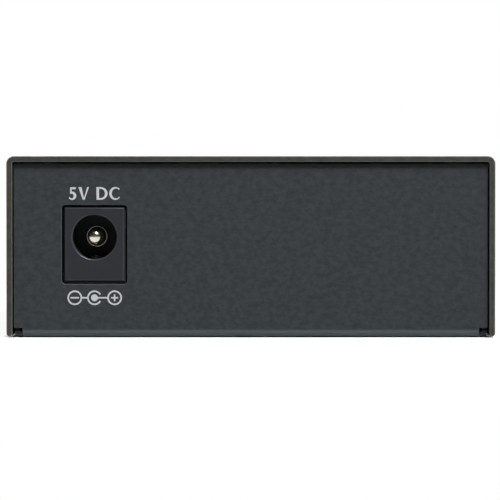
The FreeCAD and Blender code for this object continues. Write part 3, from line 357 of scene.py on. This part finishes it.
def piece(name, grids, material):
    """One piece from several grids, riding on the housing."""
    starts = np.cumsum([0] + [len(points) for points, _ in grids[:-1]])
    points = np.concatenate([points for points, _ in grids])
    faces = np.concatenate([faces + start for (_, faces), start in zip(grids, starts)])
    made = new_object(name, points, faces, material)
    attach(made, HOUSING)
    return made


def turned(profile, centre, count=64):
    """Surface of revolution about +Y through centre, closed at both poles.

    Point i, j is the centre plus r_i (cos t_j, 0, sin t_j) plus y_i along Y, where the profile's
    rows are (r_i, y_i), from the back pole to the front one, and t_j goes once round.
    """
    profile = np.asarray(profile, float)
    t = np.linspace(0, 2 * math.pi, count, endpoint=False)
    radius, y = profile[:, :1], np.repeat(profile[:, 1:], count, 1)
    points = np.stack([radius * np.cos(t), y, radius * np.sin(t)], -1) + np.asarray(centre)
    rows = len(profile)
    index = np.arange(rows * count).reshape(rows, count)
    ahead = np.roll(index, -1, 1)
    faces = np.stack([index[:-1], index[1:], ahead[1:], ahead[:-1]], -1).reshape(-1, 4)
    return points.reshape(-1, 3), faces


def finish_turned(made):
    """Merge a turned piece's poles and shade it smooth."""
    closed = made.modifiers.new("closed", "WELD")
    closed.merge_threshold = 0.0001 * MM
    made.data.polygons.foreach_set("use_smooth", np.ones(len(made.data.polygons), bool))


# ---------------------------------------------------------------- power inlet

def bore_point(y):
    """Point on the axis of the power inlet's bore, whose height is the centre pin mount's."""
    low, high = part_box("dc_jack_housing")
    mounts = {mount["name"]: mount for mount in frame["record"]["mounts"]}
    return (low.x + high.x) / 2, y, mounts["dc_jack_centre_pin"]["pos_m"][2]


def pin_tip(material):
    """Rounded end of the centre pin, over its chamfer.

    The turned profile is the quarter ellipse (r cos t, h sin t), with r the radius and h the rise,
    on a flat back.
    """
    radius, rise, chamfer, back = 1.002 * MM, 0.68 * MM, 0.4 * MM, -0.02 * MM
    t = np.linspace(0, math.pi / 2, 17)
    dome = np.stack([radius * np.cos(t), rise * np.sin(t)], -1)
    profile = np.concatenate([[[0.0, back], [radius, back]], dome])
    centre = bore_point(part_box("dc_jack_pin")[1].y - chamfer)
    finish_turned(piece("pin_tip", [turned(profile, centre)], material))


def pin_collar(material):
    """Rolled rim of the collar at the pin's foot: a slender torus on the edge of its boss.

    The turned profile is the circle (R + r cos t, r sin t), with R the rim's radius and r its roll.
    """
    rim, roll, depth = 1.44 * MM, 0.1 * MM, 8.45 * MM
    t = np.linspace(0, 2 * math.pi, 13)
    profile = np.stack([rim + roll * np.cos(t), roll * np.sin(t)], -1)
    centre = bore_point(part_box("dc_jack_housing")[1].y - depth)
    finish_turned(piece("pin_collar", [turned(profile, centre)], material))


# ------------------------------------------------------------------- markings

INK_LIFT = 0.005 * MM


class Mark:
    """Flat ink on the rear panel, in its reader's across and up, which are -X and Z.

    Each patch lies a hair above the last, so two that overlap never share a plane.
    """

    def __init__(self):
        self.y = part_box("base_tray")[1].y
        self.grids = []

    def patch(self, left, right):
        """Ink between two lines of (across, up) points that run the same way."""
        across, up = np.moveaxis(np.stack([left, right], 1), -1, 0)
        self.y += INK_LIFT
        self.grids.append(grid(np.stack([-across, np.full(across.shape, self.y), up], -1)))

    def stroke(self, path, width):
        """Ink along a path: each side is the path moved by half the width along its normal."""
        ahead = np.gradient(path, axis=0)
        ahead /= np.linalg.norm(ahead, axis=1, keepdims=True)
        left = np.stack([-ahead[:, 1], ahead[:, 0]], -1) * width / 2
        self.patch(path + left, path - left)

    def level_stroke(self, low, high, foot, head):
        """Ink from low up to high, cut level at both ends, foot wide below and head wide above."""
        path = np.array([low, high])
        half = np.array([[foot, 0.0], [head, 0.0]]) / 2
        self.patch(path - half, path + half)

    def bow(self, inner, outer, start, end):
        """Ink between two ellipses, each given as (centre, radii), over the same angles."""
        self.patch(arc(*inner, start, end), arc(*outer, start, end))


def arc(centre, radii, start, end, count=40):
    """Points of an ellipse's arc: the centre plus (rx cos t, ry sin t), with t in degrees."""
    t = np.radians(np.linspace(start, end, count))
    return np.asarray(centre) + np.stack([radii[0] * np.cos(t), radii[1] * np.sin(t)], -1)


def polarity_mark(centre_across, centre_up, material):
    """Centre-positive sign: a ringed minus, a dot in a broken ring, and a ringed plus."""
    ring, line, dash, arm, dot = 0.94 * MM, 0.235 * MM, 0.6 * MM, 0.5 * MM, 0.5 * MM
    minus, plus = -2.83 * MM, 2.88 * MM
    half_mouth = 29  # degrees
    mark = Mark()

    def at(across, up=0.0):
        return np.array([centre_across + across, centre_up + up])

    def bar(start, end):
        mark.stroke(np.array([start, end]), line)

    for place in (minus, plus):
        mark.stroke(arc(at(place), (ring, ring), 0, 360, 49), line)
    bar(at(minus - dash), at(minus + dash))
    bar(at(plus - arm), at(plus + arm))
    bar(at(plus, -arm), at(plus, arm))
    mark.stroke(arc(at(0), (ring, ring), half_mouth, 360 - half_mouth), line)
    mark.patch(arc(at(0), (dot, dot), 180, 0), arc(at(0), (dot, dot), 180, 360))
    bar(at(dot * 0.9), at(plus - ring))
    bar(at(minus + ring), at(-ring))
    piece("polarity_mark", mark.grids, material)


def voltage_mark(centre_across, base_up, material):
    """Voltage over the inlet. Coordinates below are shares of the capitals' height."""
    cap, length = 1.82 * MM, 3.943
    left = centre_across - length * cap / 2
    mark = Mark()

    def at(*points):
        return np.asarray(points) * cap + np.array([left, base_up])

    def rounds(inner, outer, start, end):
        mark.bow(*((at(centre)[0], np.multiply(radii, cap)) for centre, radii in (inner, outer)),
                 start, end)

    # figure five: flag, stem, bowl and tail
    mark.patch(at((0.06, 0.985), (0.51, 0.995)), at((0.06, 0.84), (0.48, 0.825)))
    mark.level_stroke(*at((0.115, 0.47), (0.125, 0.95)), 0.115 * cap, 0.13 * cap)
    rounds(((0.175, 0.30), (0.155, 0.19)), ((0.222, 0.318), (0.325, 0.33)), -134, 112)
    mark.patch(at((0.067, 0.163), (0.02, 0.23)), at((-0.004, 0.08), (-0.055, 0.13)))
    # letter V: a thick left limb and a slender right one
    mark.level_stroke(*at((1.12, 0.0), (0.83, 1.0)), 0.13 * cap, 0.25 * cap)
    mark.level_stroke(*at((1.155, 0.0), (1.47, 1.0)), 0.09 * cap, 0.14 * cap)
    # letter D: stem, level joints and round
    mark.level_stroke(*at((2.235, 0.0), (2.235, 1.0)), 0.21 * cap, 0.21 * cap)
    mark.patch(at((2.3, 1.0), (2.47, 1.0)), at((2.3, 0.86), (2.47, 0.86)))
    mark.patch(at((2.3, 0.14), (2.47, 0.14)), at((2.3, 0.0), (2.47, 0.0)))
    rounds(((2.47, 0.5), (0.325, 0.36)), ((2.47, 0.5), (0.532, 0.5)), -90, 90)
    # letter C: round with two flared ends
    rounds(((3.68, 0.5), (0.34, 0.39)), ((3.61, 0.5), (0.474, 0.51)), 62, 298)
    mark.patch(at((3.82, 0.838), (3.91, 0.765)), at((3.832, 0.95), (3.95, 0.885)))
    mark.patch(at((3.82, 0.162), (3.935, 0.26)), at((3.832, 0.05), (3.955, 0.15)))
    piece("voltage_mark", mark.grids, material)


# ---------------------------------------------------------------------- stage

def shown_directly(nodes):
    """Signals that are 1 for camera rays, and for the rays of gloss or glass."""
    camera, glossy, through = (nodes.add("ShaderNodeLightPath", out="Is %s Ray" % kind)
                               for kind in ("Camera", "Glossy", "Transmission"))
    return camera, glossy.maths("MAXIMUM", through)


def floor(reach, shadow_glow, bounce):
    """Pale floor, white to the camera well away from the object, which keeps its shadow near it."""
    low, high = cad_box
    contact, near, far = 1.0 * MM, 10 * MM, 200 * MM
    side = np.array([-reach, reach])
    x, y = np.meshgrid(side, side)
    material = bpy.data.materials.new("floor_white")
    paper = Nodes(material)
    place = paper.add("ShaderNodeTexCoord", out="Object")
    over_x = (abs(paper.along(place, "X")) - high[0]).maths("MAXIMUM", 0.0)
    over_y = (abs(paper.along(place, "Y")) - high[1]).maths("MAXIMUM", 0.0)
    away = (over_x * over_x + over_y * over_y).maths("SQRT")
    camera, gloss = shown_directly(paper)
    seen = camera.maths("MAXIMUM", gloss)
    glow = away.rise(0.0, contact) * (away.rise(near, far) * (1 - shadow_glow) + shadow_glow)
    dull = paper.add("ShaderNodeBsdfDiffuse", (), {"Color": (bounce, bounce, bounce)})
    bright = paper.add("ShaderNodeBsdfDiffuse", (), {"Color": (1, 1, 1)})
    white = paper.add("ShaderNodeEmission", (), {"Color": (1, 1, 1)})
    pale = paper.add("ShaderNodeMixShader", (), {0: glow, 1: bright, 2: white})
    mixed = paper.add("ShaderNodeMixShader", (), {0: seen, 1: dull, 2: pale})
    paper.fill(paper.first("OUTPUT_MATERIAL"), {"Surface": mixed})
    new_object("floor", *grid(np.stack([x, y, np.full_like(x, low[2])], -1)), material)


def backdrop(ambient, gloss_low, gloss_high):
    """World that is white to the camera and a soft grey light to the object.

    Gloss and glass see it white at the horizon, fading to the soft grey overhead.
    """
    world = bpy.data.worlds.new("studio")
    bpy.context.scene.world = world
    air = Nodes(world)
    height = air.along(air.add("ShaderNodeTexCoord", out="Generated"), "Z")
    camera, gloss = shown_directly(air)
    share = camera.maths("MAXIMUM", gloss * (1 - height.rise(gloss_low, gloss_high)))
    soft = air.add("ShaderNodeBackground", (), {"Color": (1, 1, 1), "Strength": ambient})
    white = air.add("ShaderNodeBackground", (), {"Color": (1, 1, 1), "Strength": 1.0})
    mixed = air.add("ShaderNodeMixShader", (), {0: share, 1: soft, 2: white})
    air.fill(air.first("OUTPUT_WORLD"), {"Surface": mixed})


def aim(item, target):
    item.rotation_euler = (Vector(target) - item.location).to_track_quat("-Z", "Y").to_euler()


def softbox(name, azimuth, elevation, distance, size, power):
    """Square area lamp that faces the object's middle. Azimuth 0 is over the rear face."""
    turn, lift = math.radians(azimuth), math.radians(elevation)
    target = (0.0, 0.0, (cad_box[0][2] + cad_box[1][2]) / 2)
    data = bpy.data.lights.new(name, "AREA")
    data.shape = "SQUARE"
    data.size = size
    data.energy = power
    lamp = bpy.data.objects.new(name, data)
    lamp.location = Vector(target) + distance * Vector(
        (math.sin(turn) * math.cos(lift), math.cos(turn) * math.cos(lift), math.sin(lift)))
    bpy.context.scene.collection.objects.link(lamp)
    aim(lamp, target)


def camera():
    """Long lens square to the rear face, its eye just below the level of the cover's top."""
    distance, view_width, eye_z, target_z = 500 * MM, 71.55 * MM, 23.5 * MM, 12.57 * MM
    face_y = cad_box[1][1]
    data = bpy.data.cameras.new("camera")
    data.sensor_width = 36.0
    data.lens = data.sensor_width * distance / view_width
    data.shift_x = -0.0016
    data.clip_start = 0.01
    eye = bpy.data.objects.new("camera", data)
    eye.location = (0.0, face_y + distance, eye_z)
    bpy.context.scene.collection.objects.link(eye)
    aim(eye, (0.0, face_y, target_z))
    bpy.context.scene.camera = eye


# -------------------------------------------------------------------- picture

bpy.context.scene.view_settings.view_transform = "Standard"

finish_by_slot = finishes()
dress(finish_by_slot)
# Finishes of the roundings: glossier than the faces, and lighter, the lighter colour being a painted
# highlight along the edges
edge_highlight_finish = {
    "top_cover": powder_coat("cover_edge_painted_highlight", shade(COVER_GREY, 1.15), shine=0.7),
    "base_tray": powder_coat("tray_edge_painted_highlight", shade(PANEL_GREY, 1.1), shine=0.6),
    "dc_jack_housing": moulded("socket_edge_painted_highlight", shade(SOCKET_BLACK, 1.2), 0.3, Specular_IOR_Level=0.4),
}
for node_name, edge_width in EDGE_ROUNDING.items():
    round_edges(frame["nodes"][node_name], edge_width, edge_highlight_finish.get(node_name))

pin_tip(finish_by_slot["nickel_contact"])
pin_collar(finish_by_slot["nickel_contact"])
white_ink = ink("panel_ink", WHITE_INK)
jack_low, jack_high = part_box("dc_jack_housing")
jack_across = -(jack_low.x + jack_high.x) / 2
polarity_drop, voltage_rise = 2.22 * MM, 0.95 * MM
polarity_mark(jack_across, jack_low.z - polarity_drop, white_ink)
voltage_mark(jack_across, jack_high.z + voltage_rise, white_ink)

floor(reach=2.0, shadow_glow=0.85, bounce=0.12)
backdrop(ambient=0.03, gloss_low=-0.05, gloss_high=0.12)
softbox("key", azimuth=-32, elevation=54, distance=1.1, size=0.3, power=16.0)
softbox("left", azimuth=95, elevation=20, distance=1.0, size=0.4, power=4.0)
softbox("right", azimuth=-85, elevation=20, distance=1.0, size=0.4, power=3.0)
softbox("back", azimuth=160, elevation=42, distance=1.2, size=0.5, power=10.0)
camera()
